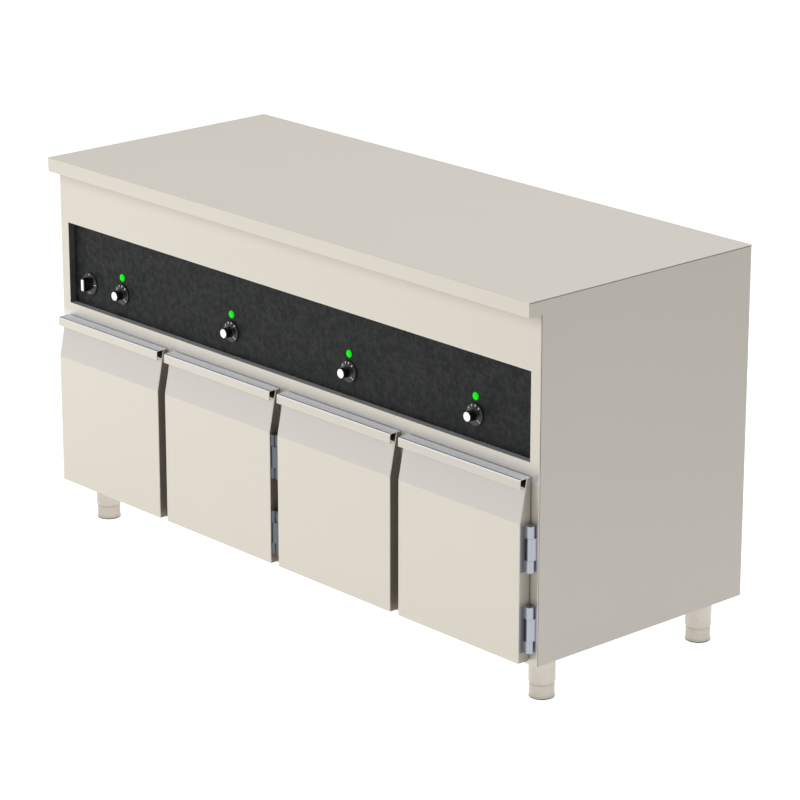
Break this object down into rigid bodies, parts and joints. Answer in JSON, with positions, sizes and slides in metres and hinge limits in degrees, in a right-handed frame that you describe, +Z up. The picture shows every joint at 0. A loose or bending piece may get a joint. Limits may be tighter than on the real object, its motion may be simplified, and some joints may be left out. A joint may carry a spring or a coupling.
{
  "type": "hot food counter",
  "caption": "Heated stainless serving counter with a flat worktop, recessed control panel, hinged insulated doors and levelling feet.",
  "frame": {"origin": "middle of the footprint at floor level", "axes": "+X along the length to the right of a person facing the doors, -Y towards that person, +Z up"},
  "size_m": [1.6, 0.65, 0.89],
  "materials": {
    "satin_steel": "satin stainless sheet",
    "control_black": "dark matt enamel",
    "knob_black": "moulded black",
    "cap_white": "moulded pale inlay",
    "pilot_green": "clear green moulding",
    "lamp_housing": "moulded",
    "hinge_steel": "satin plated",
    "leg_steel": "satin tube",
    "foot_steel": "satin turned",
    "seal_rubber": "flat seal",
    "mineral_wool": "mineral wool slab",
    "board": "stiffening board",
    "liner_steel": "plain stainless sheet",
    "element_steel": "sheathed rod",
    "ceramic": "moulded heat-resistant body",
    "shaft_steel": "turned",
    "gland_grey": "moulded"
  },
  "bodies": {
    "cabinet": {"back_panel": "satin_steel", "back_panel_screws": "hinge_steel", "base_pan": "satin_steel", "bottom_rail": "satin_steel", "cable_gland": "gland_grey", "control_panel": "control_black", "door_gaskets": "seal_rubber", "frame_hinge_leaves": "hinge_steel", "front_fascia": "satin_steel", "front_posts": "satin_steel", "heating_elements": "element_steel", "hinge_pins": "shaft_steel", "insulation_slabs": "mineral_wool", "leg_sleeves": "leg_steel", "liner_back": "liner_steel", "liner_ceiling": "liner_steel", "liner_floor": "liner_steel", "liner_sides": "liner_steel", "main_switch_body": "ceramic", "partition_walls": "liner_steel", "pilot_housings": "lamp_housing", "pilot_lenses": "pilot_green", "shelf_runners": "liner_steel", "shelves": "liner_steel", "side_panel_left": "satin_steel", "side_panel_right": "satin_steel", "terminal_block": "ceramic", "thermostats": "ceramic", "worktop_board": "board", "worktop_skin": "satin_steel"},
    "door_1": {"door_hinge_leaves_1": "hinge_steel", "door_inner_pan_1": "liner_steel", "door_skin_1": "satin_steel"},
    "door_2": {"door_hinge_leaves_2": "hinge_steel", "door_inner_pan_2": "liner_steel", "door_skin_2": "satin_steel"},
    "door_3": {"door_hinge_leaves_3": "hinge_steel", "door_inner_pan_3": "liner_steel", "door_skin_3": "satin_steel"},
    "door_4": {"door_hinge_leaves_4": "hinge_steel", "door_inner_pan_4": "liner_steel", "door_skin_4": "satin_steel"},
    "knob_1": {"knob_body_1": "knob_black", "knob_cap_1": "cap_white", "spindle_1": "shaft_steel"},
    "knob_2": {"knob_body_2": "knob_black", "knob_cap_2": "cap_white", "spindle_2": "shaft_steel"},
    "knob_3": {"knob_body_3": "knob_black", "knob_cap_3": "cap_white", "spindle_3": "shaft_steel"},
    "knob_4": {"knob_body_4": "knob_black", "knob_cap_4": "cap_white", "spindle_4": "shaft_steel"},
    "foot_1": {"levelling_foot_1": "foot_steel"},
    "foot_2": {"levelling_foot_2": "foot_steel"},
    "foot_3": {"levelling_foot_3": "foot_steel"},
    "foot_4": {"levelling_foot_4": "foot_steel"},
    "main_switch": {"main_switch_bar": "cap_white", "main_switch_knob": "knob_black"}
  },
  "joints": [
    {"name": "door_1_hinge", "type": "hinge", "parent": "cabinet", "child": "door_1", "pos_m": [-0.7884, -0.3034, 0.1325], "axis": [0, 0, -1], "range_deg": [0, 150]},
    {"name": "door_2_hinge", "type": "hinge", "parent": "cabinet", "child": "door_2", "pos_m": [-0.0076, -0.3178, 0.1325], "axis": [0, 0, 1], "range_deg": [0, 90]},
    {"name": "door_3_hinge", "type": "hinge", "parent": "cabinet", "child": "door_3", "pos_m": [0.0076, -0.3178, 0.1325], "axis": [0, 0, -1], "range_deg": [0, 90]},
    {"name": "door_4_hinge", "type": "hinge", "parent": "cabinet", "child": "door_4", "pos_m": [0.7884, -0.3034, 0.1325], "axis": [0, 0, 1], "range_deg": [0, 150]},
    {"name": "knob_1_turn", "type": "hinge", "parent": "cabinet", "child": "knob_1", "pos_m": [-0.59325, -0.276, 0.5955], "axis": [0, 1, 0], "range_deg": [0, 270]},
    {"name": "knob_2_turn", "type": "hinge", "parent": "cabinet", "child": "knob_2", "pos_m": [-0.19775, -0.276, 0.5955], "axis": [0, 1, 0], "range_deg": [0, 270]},
    {"name": "knob_3_turn", "type": "hinge", "parent": "cabinet", "child": "knob_3", "pos_m": [0.19775, -0.276, 0.5955], "axis": [0, 1, 0], "range_deg": [0, 270]},
    {"name": "knob_4_turn", "type": "hinge", "parent": "cabinet", "child": "knob_4", "pos_m": [0.59325, -0.276, 0.5955], "axis": [0, 1, 0], "range_deg": [0, 270]},
    {"name": "main_switch_turn", "type": "hinge", "parent": "cabinet", "child": "main_switch", "pos_m": [-0.7155, -0.276, 0.5955], "axis": [0, 1, 0], "range_deg": [0, 90]},
    {"name": "foot_1_screw", "type": "slide", "parent": "cabinet", "child": "foot_1", "axis": [0, 0, -1], "range_m": [0, 0.03]},
    {"name": "foot_2_screw", "type": "slide", "parent": "cabinet", "child": "foot_2", "axis": [0, 0, -1], "range_m": [0, 0.03]},
    {"name": "foot_3_screw", "type": "slide", "parent": "cabinet", "child": "foot_3", "axis": [0, 0, -1], "range_m": [0, 0.03]},
    {"name": "foot_4_screw", "type": "slide", "parent": "cabinet", "child": "foot_4", "axis": [0, 0, -1], "range_m": [0, 0.03]}
  ]
}
